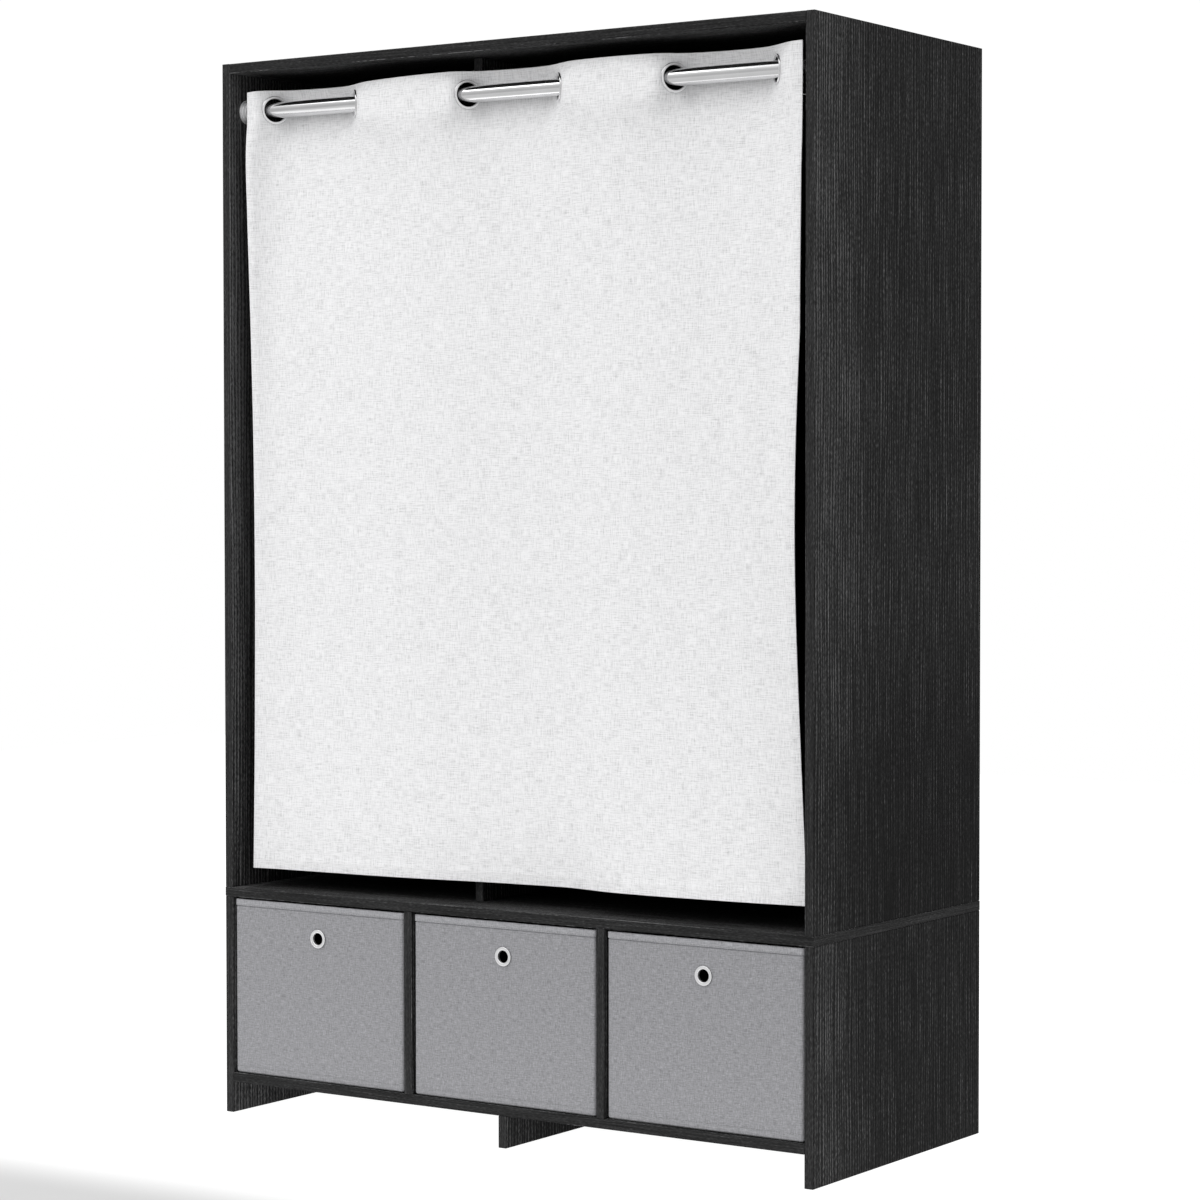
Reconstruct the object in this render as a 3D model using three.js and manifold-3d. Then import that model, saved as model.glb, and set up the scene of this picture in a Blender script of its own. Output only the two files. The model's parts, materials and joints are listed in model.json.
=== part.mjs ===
// A wooden wardrobe whose front is a hanging curtain, above a row of pull-out fabric bins.
// Millimetres, +Z up, +X to the right, the front faces -Y.
// The origin is on the floor, under the middle of the carcass.
import * as THREE from "three";
import { mergeVertices } from "three/addons/utils/BufferGeometryUtils.js";
import Module from "manifold-3d";

const wasm = await Module();
wasm.setup();

// Driving dimensions of the carcass
const height = 1650;
const width = 1075;
const depth = 500;
const board = 15; // thickness of every wooden panel
const arris = 0.8; // broken edge round each panel
const seam = 0.2; // joint line between two panels
const overrun = 2; // how far a cutter passes the face that it cuts
const runningGap = 0.3; // between pieces that nest, slide or rest

const lowerHeight = 342; // floor to the underside of the middle board
const footHeight = 48; // floor to the underside of the bottom board
const backThickness = 3;

const bayCount = 3;
const bayNames = ["left", "middle", "right"];

// The curtain rod and the hanging rail are one kind of tube in one kind of socket
const tube = { diameter: 25, wall: 1.2 };
const socket = { flange: 38, flangeThickness: 3, collar: 31, collarLength: 11, floor: 3, edge: 1 };
const rodDrop = 57.4; // top board to the rod's axis
const rodSetback = 42; // front plane to the rod's axis
const railDrop = 65;

// The curtain: a header stiffened round its eyelets, and cloth that relaxes below it
const cloth = {
  thickness: 1.6,
  backAngle: THREE.MathUtils.degToRad(58), // how far it turns back through an odd eyelet
  frontAngle: THREE.MathUtils.degToRad(46), // and comes forward through an even one
  bendRadius: 11, // tightest bend of the header
  flatMargin: 1, // flat cloth beyond an eyelet's flange
  headerMargin: 12.86, // cloth above the flange
  hemLift: 34, // middle board to the hem
  hemRise: 8.5, // how much higher the hem hangs at its right end
  curtainGap: 2, // free space behind the deepest pleat
};
const eyelet = { lip: 3, barrel: 1.4, flangeThickness: 1.3, bevel: 2.1, slack: 0.3 };
const eyeletShares = [-0.8905, -0.5833, -0.175, 0.1468, 0.5325, 0.865]; // of half the inner width
const headerEndShares = [-0.9633, 0.9716];
const hemEndShares = [-0.9605, 0.976];
const waistShare = 0.018; // how far the edges draw in halfway down
const rightWaist = 10.5; // and the right edge alone, in its lower part
const rightWaistTop = 0.22; // of the drop, from where it does
const relaxPower = 1.7; // how soon the cloth below the header takes the hem's shape
const relaxStart = 0.05; // of the drop, in which that sets in
// How the header's pleats fade, as shares of the drop: tight bends turn into a round wave, the wave
// loses most of its depth, and what is left of it goes evenly down to the hem
const fade = { bends: 0.03, wave: 0.07, left: 0.2 };
const sidePulls = [60, 35]; // how far in from its side edges the cloth stays drawn to the front
// How far the hem waves to the rear of the rod, at even steps from left to right, of the pleats' depth
const hemWaveShares = [-0.47, -0.47, -0.47, -0.44, -0.25, 0.1, 0.28, 0.3, -0.48, -0.78, -0.78, -0.74, -0.58];

// The bins
const bin = {
  sideGap: 2.67,
  topGap: 3,
  recess: 2.5, // front plane to the bin's face
  depth: 460,
  wall: 3.2,
  corner: 5,
  hemHeight: 10,
  hemProud: 0.5,
  baseBoard: 2.5,
  ringDrop: 52, // rim to the centre of the pull ring
};
const pullRing = { bore: 18, lip: 3.6, barrel: 1.2, flangeThickness: 1.1, bevel: 0.8 };

// The narrow compartment's shelves
const shelfCount = 3;
const shelf = { sideGap: 1, backGap: 2, pinInset: 50 };
const pin = { diameter: 5, length: 17, seat: 8.5, collar: 9, collarThickness: 1.5, chamfer: 0.6 };
const dividerShare = -0.176; // the upper divider stands left of the middle, of half the inner width

// Facets
const tubeSides = 24;
const eyeletSides = 20;
const pinSides = 10;
const cornerSteps = 3;
const pleatSteps = 3;
const drapeShares = [0, 0.04, 0.1, 0.22, 0.42, 0.68, 1]; // of the drop, a row of facets each
const spanSteps = 2;

// Places worked out from the sizes above
const frontY = -depth / 2;
const backY = depth / 2;
const innerX = width / 2 - board; // inner face of a side panel
const boardsBackY = backY - backThickness - seam; // rear edge of what the back panels cover
const bottomTop = footHeight + board;
const middleTop = lowerHeight + board;
const topUnder = height - board;
const dividerX = dividerShare * innerX;
const tubeRadius = tube.diameter / 2;

// Eyelet sizes follow the rod that has to pass through them at the pleats' angle
const grooveHalf = cloth.thickness / 2 + runningGap;
const eyeletHalf = grooveHalf + eyelet.flangeThickness;
const eyeletBore = tubeRadius / Math.sin(cloth.frontAngle)
  + (eyeletHalf - eyelet.bevel) / Math.tan(cloth.frontAngle) + eyelet.slack;
const eyeletFlange = eyeletBore + eyelet.barrel + eyelet.lip;
const headerFlat = eyeletFlange + cloth.flatMargin;
const pleatDepth = headerFlat * Math.sin(cloth.backAngle)
  + cloth.bendRadius * (1 - Math.cos(cloth.backAngle));
const rodY = frontY + rodSetback;
const rodZ = topUnder - rodDrop;
const interiorY = rodY + pleatDepth + cloth.curtainGap; // front edges of the divider and shelves

const finishes = {
  ebony: { color: 0x2b2b2d, roughness: 0.62, metalness: 0 },
  backing: { color: 0x1d1d1f, roughness: 0.8, metalness: 0 },
  chrome: { color: 0xd9dadc, roughness: 0.14, metalness: 1 },
  linen: { color: 0xe9e8e5, roughness: 0.95, metalness: 0 },
  weave: { color: 0x8f9092, roughness: 0.95, metalness: 0 },
  fibreboard: { color: 0x6f6658, roughness: 0.9, metalness: 0 },
  nickel: { color: 0xc9c9c9, roughness: 0.3, metalness: 1 },
};

const wardrobe = new THREE.Group();

function add(name, geometry, finish, parent = wardrobe) {
  const mesh = new THREE.Mesh(geometry, new THREE.MeshStandardMaterial(finishes[finish]));
  mesh.name = name;
  parent.add(mesh);
  return mesh;
}

// A closed geometry as a solid that can be cut, and back
function solidOf(geometry) {
  const bare = geometry.index ? geometry.toNonIndexed() : geometry.clone();
  bare.deleteAttribute("normal");
  bare.deleteAttribute("uv");
  const merged = mergeVertices(bare);
  return new wasm.Manifold(new wasm.Mesh({
    numProp: 3,
    vertProperties: new Float32Array(merged.attributes.position.array),
    triVerts: new Uint32Array(merged.index.array),
  }));
}

function geometryOf(solid) {
  const { vertProperties, triVerts } = solid.getMesh();
  const geometry = new THREE.BufferGeometry();
  geometry.setAttribute("position", new THREE.BufferAttribute(vertProperties, 3));
  geometry.setIndex(new THREE.BufferAttribute(triVerts, 1));
  return geometry;
}

function cut(geometry, cutters) {
  return geometryOf(cutters.reduce((left, c) => left.subtract(solidOf(c)), solidOf(geometry)));
}

// A panel with a broken edge round its outline, lying in the plane of its two long sides
function panelGeometry(size) {
  const thin = size.indexOf(Math.min(...size));
  const [across, along] = [[size[2], size[1]], [size[0], size[2]], [size[0], size[1]]][thin];
  const outline = new THREE.Shape([
    new THREE.Vector2(-across / 2, -along / 2), new THREE.Vector2(across / 2, -along / 2),
    new THREE.Vector2(across / 2, along / 2), new THREE.Vector2(-across / 2, along / 2),
  ]);
  const edge = Math.min(arris, size[thin] / 4);
  const geometry = new THREE.ExtrudeGeometry(outline, {
    depth: size[thin] - 2 * edge,
    bevelThickness: edge,
    bevelSize: edge,
    bevelOffset: -edge,
    bevelSegments: 1,
  });
  geometry.translate(0, 0, edge - size[thin] / 2);
  if (thin === 0) geometry.rotateY(Math.PI / 2);
  if (thin === 1) geometry.rotateX(Math.PI / 2);
  return geometry;
}

// A panel between two planes on each axis, with holes where a list of cutters says
function panel(name, x, y, z, finish = "ebony", cutters = []) {
  const spans = [x, y, z];
  const geometry = panelGeometry(spans.map(([low, high]) => high - low));
  const centre = new THREE.Vector3(...spans.map(([low, high]) => (low + high) / 2));
  const holes = cutters.map((c) => c.clone().translate(-centre.x, -centre.y, -centre.z));
  add(name, holes.length ? cut(geometry, holes) : geometry, finish).position.copy(centre);
}

// A turned shape round the X axis: a list of [radius, distance along +X]
function turned(profile, sides) {
  const points = profile.map(([radius, along]) => new THREE.Vector2(radius, along));
  return new THREE.LatheGeometry(points, sides).rotateZ(-Math.PI / 2);
}

function ring(profile, sides) {
  return turned([...profile, profile[0]], sides);
}

// Lower carcass: side panels that run down to the floor as feet, with the bottom board between
const lowerInner = [-innerX + seam, innerX - seam];
const boardsY = [frontY, boardsBackY];
for (const [side, sign] of [["left", -1], ["right", 1]]) {
  const x = [sign * innerX, sign * width / 2].sort((a, b) => a - b);
  panel(`lower_side_${side}`, x, [frontY, backY], [0, lowerHeight - seam]);
}
panel("bottom_board", lowerInner, boardsY, [footHeight, bottomTop]);
panel("centre_foot", [-board / 2, board / 2], boardsY, [0, footHeight - seam]);
panel("lower_back_panel", lowerInner, [backY - backThickness, backY],
  [footHeight, lowerHeight - seam], "backing");

const bayWidth = (2 * innerX - (bayCount - 1) * board) / bayCount;
const bayCentre = (i) => -innerX + bayWidth / 2 + i * (bayWidth + board);
for (let i = 1; i < bayCount; i++) {
  const x = bayCentre(i) - bayWidth / 2 - board;
  panel(`bay_divider_${i}`, [x, x + board], boardsY, [bottomTop + seam, lowerHeight - seam]);
}

// Upper carcass: the middle board caps the lower one, and the upper sides stand on its ends
panel("middle_board", [-width / 2, width / 2], [frontY, backY], [lowerHeight, middleTop]);

const shelfPitch = (topUnder - middleTop + board) / (shelfCount + 1);
const shelfTop = (i) => middleTop + (i + 1) * shelfPitch;
const pinZ = (i) => shelfTop(i) - board - runningGap - pin.diameter / 2;
const pinY = [interiorY + shelf.pinInset, boardsBackY - shelf.backGap - shelf.pinInset];
const compartment = [-innerX, dividerX - board / 2];

// Blind holes for the shelf pins, in the two panels that face the narrow compartment
function pinHoles(faceX, into) {
  const length = pin.seat + overrun;
  const holes = [];
  for (let i = 0; i < shelfCount; i++) {
    for (const y of pinY) {
      const hole = new THREE.CylinderGeometry(
        pin.diameter / 2 + runningGap, pin.diameter / 2 + runningGap, length, pinSides);
      hole.rotateZ(-Math.PI / 2);
      holes.push(hole.translate(faceX + into * (length / 2 - overrun), y, pinZ(i)));
    }
  }
  return holes;
}

const upperZ = [middleTop + seam, height];
panel("upper_side_left", [-width / 2, -innerX], [frontY, backY], upperZ, "ebony",
  pinHoles(compartment[0], -1));
panel("upper_side_right", [innerX, width / 2], [frontY, backY], upperZ);
panel("top_board", lowerInner, boardsY, [topUnder, height]);
panel("inner_divider", [dividerX - board / 2, dividerX + board / 2], [interiorY, boardsBackY],
  [middleTop + seam, topUnder - seam], "ebony", pinHoles(compartment[1], 1));
const upperBackY = [backY - backThickness, backY];
panel("upper_back_left", [lowerInner[0], dividerX - seam / 2], upperBackY, upperZ, "backing");
panel("upper_back_right", [dividerX + seam / 2, lowerInner[1]], upperBackY, upperZ, "backing");

// Shelves on four pins each
const pinProfile = [
  [0, 0], [pin.diameter / 2 - pin.chamfer, 0], [pin.diameter / 2, pin.chamfer],
  [pin.diameter / 2, pin.seat], [pin.collar / 2, pin.seat],
  [pin.collar / 2, pin.seat + pin.collarThickness],
  [pin.diameter / 2, pin.seat + pin.collarThickness],
  [pin.diameter / 2, pin.length - pin.chamfer], [pin.diameter / 2 - pin.chamfer, pin.length],
  [0, pin.length],
];
const collarReach = runningGap + pin.collarThickness; // face of the wall to the pin's collar
for (let i = 0; i < shelfCount; i++) {
  const sideGap = collarReach + shelf.sideGap;
  panel(`shelf_${i + 1}`, [compartment[0] + sideGap, compartment[1] - sideGap],
    [interiorY, boardsBackY - shelf.backGap], [shelfTop(i) - board, shelfTop(i)]);
  for (const [wall, faceX, out] of [["a", compartment[0], 1], ["b", compartment[1], -1]]) {
    pinY.forEach((y, j) => {
      const peg = add(`shelf_${i + 1}_pin_${wall}${j + 1}`, turned(pinProfile, pinSides), "nickel");
      peg.position.set(faceX + out * (runningGap - pin.seat), y, pinZ(i));
      if (out < 0) peg.rotation.z = Math.PI;
    });
  }
}

// A tube between two walls, each end in a socket that is screwed to its wall
const socketProfile = [
  [0, 0], [socket.flange / 2, 0], [socket.flange / 2, socket.flangeThickness - socket.edge],
  [socket.flange / 2 - socket.edge, socket.flangeThickness],
  [socket.collar / 2, socket.flangeThickness],
  [socket.collar / 2, socket.collarLength - socket.edge],
  [socket.collar / 2 - socket.edge, socket.collarLength],
  [tubeRadius + runningGap, socket.collarLength], [tubeRadius + runningGap, socket.floor],
  [0, socket.floor],
];
function tubeInSockets(tubeName, socketName, fromX, toX, y, z) {
  const ends = [fromX + seam + socket.floor + runningGap, toX - seam - socket.floor - runningGap];
  const length = ends[1] - ends[0];
  const inner = tubeRadius - tube.wall;
  const bar = add(tubeName, ring([[inner, 0], [tubeRadius, 0], [tubeRadius, length],
    [inner, length]], tubeSides), "chrome");
  bar.position.set(ends[0], y, z);
  for (const [side, x, turn] of [["left", fromX + seam, 0], ["right", toX - seam, Math.PI]]) {
    const cup = add(`${socketName}_${side}`, turned(socketProfile, tubeSides), "chrome");
    cup.position.set(x, y, z);
    cup.rotation.z = turn;
  }
}
tubeInSockets("curtain_rod", "rod_socket", -innerX, innerX, rodY, rodZ);
tubeInSockets("hanging_rail", "rail_socket", dividerX + board / 2, innerX,
  (interiorY + boardsBackY) / 2, topUnder - railDrop);

// The header seen from above: flat through each eyelet, where it crosses the rod, and bent
// round to run along the rod in between, by turns behind it and in front of it
const eyeletColumns = []; // where the flat cloth of each eyelet starts
function headerPlan() {
  const points = [];
  const place = (x, y) => points.push(new THREE.Vector2(x, y));
  place(headerEndShares[0] * innerX, -pleatDepth);
  eyeletShares.forEach((share, i) => {
    const x = share * innerX;
    const back = i % 2 === 0 ? 1 : -1; // 1 where it passes to the rear of the rod
    const angle = back > 0 ? cloth.backAngle : cloth.frontAngle;
    const run = headerFlat * Math.cos(angle);
    const rise = headerFlat * Math.sin(angle);
    const radius = (pleatDepth - rise) / (1 - Math.cos(angle));
    const bend = (side) => {
      for (let k = 0; k < pleatSteps; k++) {
        const turn = angle * (side < 0 ? k : k + 1) / pleatSteps;
        const from = side < 0 ? turn : angle - turn;
        place(x + side * (run + radius * (Math.sin(angle) - Math.sin(from))),
          side * back * (rise + radius * (Math.cos(from) - Math.cos(angle))));
      }
    };
    bend(-1);
    eyeletColumns.push(points.length);
    place(x - run, -back * rise);
    place(x + run, back * rise);
    bend(1);
    const next = eyeletShares[i + 1];
    if (next === undefined) return;
    const start = points[points.length - 1];
    const nextAngle = back > 0 ? cloth.frontAngle : cloth.backAngle;
    const nextRise = headerFlat * Math.sin(nextAngle);
    const nextRadius = (pleatDepth - nextRise) / (1 - Math.cos(nextAngle));
    const end = next * innerX - headerFlat * Math.cos(nextAngle) - nextRadius * Math.sin(nextAngle);
    for (let k = 1; k < spanSteps; k++) {
      place(start.x + (end - start.x) * k / spanSteps, start.y);
    }
  });
  place(headerEndShares[1] * innerX, -pleatDepth);
  return points;
}

const headerPoints = headerPlan();
const headerLengths = headerPoints.reduce((sums, point, i) => {
  sums.push(i ? sums[i - 1] + point.distanceTo(headerPoints[i - 1]) : 0);
  return sums;
}, []);
const headerLength = headerLengths[headerLengths.length - 1];
const headerTop = rodZ + eyeletFlange + cloth.headerMargin;
const headerLow = rodZ - headerFlat;
const hemWave = new THREE.SplineCurve(
  hemWaveShares.map((out, i) => new THREE.Vector2(i, out * pleatDepth)));

// The same pleats as a round wave that crosses the rod's plane at each eyelet
const knots = [0, ...eyeletColumns.map((column) => headerLengths[column] + headerFlat), headerLength];
const knotPhases = knots.map((_, i) => THREE.MathUtils.clamp(i - 1, -1 / 2, eyeletShares.length - 1 / 2));
const knotPlaces = [headerEndShares[0], ...eyeletShares, headerEndShares[1]].map((share) => share * innerX);
function throughKnots(values, length) {
  const last = knots.length - 1;
  const i = Math.min(knots.filter((knot) => knot <= length).length, last) - 1;
  const slope = (k) => {
    const [a, b] = [Math.max(k - 1, 0), Math.min(k + 1, last)];
    return (values[b] - values[a]) / (knots[b] - knots[a]);
  };
  const span = knots[i + 1] - knots[i];
  const t = (length - knots[i]) / span;
  const ease = t * t * (3 - 2 * t);
  return THREE.MathUtils.lerp(values[i], values[i + 1], ease)
    + t * (1 - t) * span * ((1 - t) * slope(i) - t * slope(i + 1));
}
const roundPleats = headerLengths.map((length) => {
  const pull = Math.exp(-((length / sidePulls[0]) ** 2))
    + Math.exp(-(((headerLength - length) / sidePulls[1]) ** 2));
  const wave = Math.sin(Math.PI * throughKnots(knotPhases, length));
  return { x: throughKnots(knotPlaces, length), wave: pleatDepth * (wave + pull), side: -pleatDepth * pull };
});

// A point of the cloth's middle surface: a column of the header, and a share of the drop
function drape(column, drop) {
  const top = headerPoints[column];
  const round = roundPleats[column];
  const along = headerLengths[column] / headerLength;
  const low = hemWave.getPoint(along);
  const eased = (drop - relaxStart * (1 - Math.exp(-drop / relaxStart))) / (1 - relaxStart);
  const relaxed = 1 - (1 - Math.min(eased, 1)) ** relaxPower;
  const bends = Math.exp(-((drop / fade.bends) ** 1.4));
  const wave = fade.left * (1 - relaxed) + (1 - fade.left) * Math.exp(-drop / fade.wave);
  const x = THREE.MathUtils.lerp(round.x, top.x, bends);
  const y = THREE.MathUtils.lerp(round.wave * wave + round.side * (1 - relaxed), top.y, bends);
  const hemX = THREE.MathUtils.lerp(...hemEndShares, along) * innerX;
  const waist = 1 - waistShare * Math.sin(Math.PI * drop);
  const below = Math.max((drop - rightWaistTop) / (1 - rightWaistTop), 0);
  const inward = rightWaist * along ** 3 * Math.sin(Math.PI * below) ** 1.4;
  const hemZ = middleTop + cloth.hemLift + (along - 1 / 2) * cloth.hemRise;
  return new THREE.Vector3(
    THREE.MathUtils.lerp(x, hemX, relaxed) * waist - inward,
    y + low.y * relaxed + rodY,
    THREE.MathUtils.lerp(headerLow, hemZ, drop));
}

// The cloth: rows from the header's top edge to the hem, with a front and a back face
function curtainGeometry() {
  const rows = [(column) => drape(column, 0).setZ(headerTop)];
  for (const share of drapeShares) rows.push((column) => drape(column, share));
  const columns = headerPoints.length;
  const position = [];
  for (const side of [-1, 1]) {
    for (const row of rows) {
      for (let c = 0; c < columns; c++) {
        const here = row(c);
        const ahead = row(Math.min(c + 1, columns - 1)).sub(here).setZ(0).normalize();
        const behind = here.clone().sub(row(Math.max(c - 1, 0))).setZ(0).normalize();
        const tangent = ahead.add(behind).normalize();
        const half = side * cloth.thickness / 2;
        position.push(here.x - tangent.y * half, here.y + tangent.x * half, here.z);
      }
    }
  }
  const index = [];
  const at = (side, r, c) => (side * rows.length + r) * columns + c;
  const quad = (a, b, c, d) => index.push(a, b, c, a, c, d);
  for (let r = 0; r + 1 < rows.length; r++) {
    for (let c = 0; c + 1 < columns; c++) {
      quad(at(0, r, c), at(0, r + 1, c), at(0, r + 1, c + 1), at(0, r, c + 1));
      quad(at(1, r, c), at(1, r, c + 1), at(1, r + 1, c + 1), at(1, r + 1, c));
    }
    const last = columns - 1;
    quad(at(0, r, 0), at(1, r, 0), at(1, r + 1, 0), at(0, r + 1, 0));
    quad(at(0, r, last), at(0, r + 1, last), at(1, r + 1, last), at(1, r, last));
  }
  const last = rows.length - 1;
  for (let c = 0; c + 1 < columns; c++) {
    quad(at(0, 0, c), at(0, 0, c + 1), at(1, 0, c + 1), at(1, 0, c));
    quad(at(0, last, c), at(1, last, c), at(1, last, c + 1), at(0, last, c + 1));
  }
  const geometry = new THREE.BufferGeometry();
  geometry.setAttribute("position", new THREE.Float32BufferAttribute(position, 3));
  geometry.setIndex(index);
  return geometry;
}

// An eyelet clamps the cloth between two domed flanges on a barrel
function eyeletProfile(bore, barrel, lip, groove, flangeThickness, bevel) {
  const outer = bore + barrel + lip;
  const half = groove + flangeThickness;
  return [
    [bore, bevel - half], [bore + bevel, -half], [outer, -groove], [bore + barrel, -groove],
    [bore + barrel, groove], [outer, groove], [bore + bevel, half], [bore, half - bevel],
  ];
}

const eyeletPlaces = eyeletShares.map((share, i) => ({
  x: share * innerX,
  turn: i % 2 === 0 ? cloth.backAngle : -cloth.frontAngle,
}));
const clothHoles = eyeletPlaces.map(({ x, turn }) => {
  const radius = eyeletBore + eyelet.barrel + runningGap;
  const hole = new THREE.CylinderGeometry(radius, radius, cloth.thickness + 2 * overrun, eyeletSides);
  return hole.rotateZ(-Math.PI / 2).rotateZ(turn + Math.PI / 2).translate(x, rodY, rodZ);
});
add("curtain_cloth", cut(curtainGeometry(), clothHoles), "linen");
eyeletPlaces.forEach(({ x, turn }, i) => {
  const profile = eyeletProfile(eyeletBore, eyelet.barrel, eyelet.lip, grooveHalf,
    eyelet.flangeThickness, eyelet.bevel);
  const grommet = add(`curtain_eyelet_${i + 1}`, ring(profile, eyeletSides), "chrome");
  grommet.position.set(x, rodY, rodZ);
  grommet.rotation.z = turn + Math.PI / 2;
});

// A rectangle with round corners, centred
function roundedOutline(across, along, radius) {
  const x = across / 2 - radius;
  const y = along / 2 - radius;
  const outline = new THREE.Shape();
  [[x, y, 0], [-x, y, 1], [-x, -y, 2], [x, -y, 3]].forEach(([cx, cy, quarter]) => {
    outline.absarc(cx, cy, radius, quarter * Math.PI / 2, (quarter + 1) * Math.PI / 2, false);
  });
  return outline;
}

function block(across, along, radius, low, high) {
  const geometry = new THREE.ExtrudeGeometry(roundedOutline(across, along, radius), {
    depth: high - low,
    bevelEnabled: false,
    curveSegments: cornerSteps,
  });
  return geometry.translate(0, 0, low);
}

// A bin: stiff woven walls with a turned hem, a base board inside, and a ring to pull it by
const binWidth = bayWidth - 2 * bin.sideGap;
const binHeight = lowerHeight - bin.topGap - bottomTop - runningGap;
const ringGroove = bin.wall / 2 + runningGap;
function binShell() {
  const inner = [binWidth - 2 * bin.wall, bin.depth - 2 * bin.wall, bin.corner - bin.wall];
  const band = [binWidth + 2 * bin.hemProud, bin.depth + 2 * bin.hemProud, bin.corner + bin.hemProud];
  const hem = solidOf(block(...band, binHeight - bin.hemHeight, binHeight));
  const walls = solidOf(block(binWidth, bin.depth, bin.corner, 0, binHeight)).add(hem);
  const radius = pullRing.bore / 2 + pullRing.barrel + runningGap;
  const hole = new THREE.CylinderGeometry(radius, radius, bin.wall + 2 * overrun, eyeletSides);
  hole.translate(0, bin.wall / 2 - bin.depth / 2, binHeight - bin.ringDrop);
  const hollow = solidOf(block(...inner, bin.wall, binHeight + overrun));
  return geometryOf(walls.subtract(hollow).subtract(solidOf(hole)));
}
bayNames.forEach((name, i) => {
  const group = new THREE.Group();
  group.position.set(bayCentre(i), frontY + bin.recess + bin.depth / 2, bottomTop + runningGap);
  wardrobe.add(group);
  add(`bin_${name}_shell`, binShell(), "weave", group);
  const inset = bin.wall + runningGap;
  const base = block(binWidth - 2 * inset, bin.depth - 2 * inset, bin.corner - inset,
    inset, inset + bin.baseBoard);
  add(`bin_${name}_base_board`, base, "fibreboard", group);
  const profile = eyeletProfile(pullRing.bore / 2, pullRing.barrel, pullRing.lip, ringGroove,
    pullRing.flangeThickness, pullRing.bevel);
  const pull = add(`bin_${name}_pull_ring`, ring(profile, eyeletSides), "nickel", group);
  pull.position.set(0, bin.wall / 2 - bin.depth / 2, binHeight - bin.ringDrop);
  pull.rotation.z = Math.PI / 2;
});

export default wardrobe;
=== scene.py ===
# A black oak wardrobe with a linen curtain on eyelets, above three woven bins that pull out.
import bisect
import json
import math

import bmesh
import bpy
from mathutils import Matrix, Vector, noise


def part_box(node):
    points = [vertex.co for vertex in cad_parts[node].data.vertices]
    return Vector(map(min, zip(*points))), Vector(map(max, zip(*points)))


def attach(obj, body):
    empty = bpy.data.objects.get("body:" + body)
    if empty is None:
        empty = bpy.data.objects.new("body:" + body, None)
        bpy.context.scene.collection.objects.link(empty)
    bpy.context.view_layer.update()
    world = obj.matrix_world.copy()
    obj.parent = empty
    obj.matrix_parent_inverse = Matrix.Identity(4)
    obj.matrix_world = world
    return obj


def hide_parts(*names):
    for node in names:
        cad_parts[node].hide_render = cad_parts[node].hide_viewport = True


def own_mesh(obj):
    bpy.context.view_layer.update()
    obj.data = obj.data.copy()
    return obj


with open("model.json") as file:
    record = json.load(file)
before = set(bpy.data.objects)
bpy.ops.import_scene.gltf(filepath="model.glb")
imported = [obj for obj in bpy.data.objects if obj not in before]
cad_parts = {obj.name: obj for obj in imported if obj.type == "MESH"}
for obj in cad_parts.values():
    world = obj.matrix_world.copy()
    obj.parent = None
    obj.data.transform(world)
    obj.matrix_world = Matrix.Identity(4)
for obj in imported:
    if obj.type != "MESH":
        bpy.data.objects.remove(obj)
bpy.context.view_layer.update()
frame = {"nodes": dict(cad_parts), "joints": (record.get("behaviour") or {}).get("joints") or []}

carcass = "carcass"
drawJoint = "curtain_draw"


# Node trees, written as sums

class Wire:
    def __init__(self, nodes, socket):
        self.nodes = nodes
        self.socket = socket

    def out(self, name):  # another output of the same node
        return Wire(self.nodes, self.socket.node.outputs[name])

    def maths(self, operation, *values):
        return self.nodes.add("ShaderNodeMath", {"operation": operation}, dict(enumerate(values)))

    def __abs__(self):
        return self.maths("ABSOLUTE", self)

    __add__ = __radd__ = lambda self, other: self.maths("ADD", self, other)
    __mul__ = __rmul__ = lambda self, other: self.maths("MULTIPLY", self, other)
    __sub__ = lambda self, other: self.maths("SUBTRACT", self, other)
    __rsub__ = lambda self, other: self.maths("SUBTRACT", other, self)
    __gt__ = lambda self, other: self.maths("GREATER_THAN", self, other)


class Nodes:
    def __init__(self, tree):
        self.tree = tree

    def add(self, kind, settings=None, inputs=None, output=0):
        node = self.tree.nodes.new(kind)
        for name, value in (settings or {}).items():
            if name == "stops":
                self.setStops(node.color_ramp, value)
            else:
                setattr(node, name, value)
        for key, value in (inputs or {}).items():
            if isinstance(value, Wire):
                self.tree.links.new(value.socket, node.inputs[key])
            else:
                node.inputs[key].default_value = value
        return Wire(self, node.outputs[output] if node.outputs else None)

    def setStops(self, ramp, stops):
        while len(ramp.elements) < len(stops):
            ramp.elements.new(0.5)
        for element, (place, value) in zip(ramp.elements, stops):
            element.position = place
            element.color = (value, value, value, 1) if isinstance(value, float) else (*value, 1)

    def place(self):  # the point, from the piece's own origin
        return self.add("ShaderNodeTexCoord", output="Object")

    def split(self, vector):
        parts = self.add("ShaderNodeSeparateXYZ", {}, {0: vector})
        return [parts.out(name) for name in "XYZ"]

    def join(self, x, y, z=0.0):
        return self.add("ShaderNodeCombineXYZ", {}, {0: x, 1: y, 2: z})

    def grain(self, vector, scale=1.0, detail=2.0, rough=0.5):
        values = {"Vector": vector, "Scale": scale, "Detail": detail, "Roughness": rough}
        return self.add("ShaderNodeTexNoise", {"noise_dimensions": "3D"}, values)

    def ramp(self, value, stops):
        return self.add("ShaderNodeValToRGB", {"stops": stops}, {0: value})

    def rising(self, value, low, high):  # smoothly from 0 at low to 1 at high
        return self.add("ShaderNodeMapRange", {"interpolation_type": "SMOOTHSTEP"},
                        {"Value": value, "From Min": low, "From Max": high})

    def bump(self, height, strength, distance, under=None):
        values = {"Height": height, "Strength": strength, "Distance": distance}
        if under is not None:
            values["Normal"] = under
        return self.add("ShaderNodeBump", {}, values)


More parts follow.
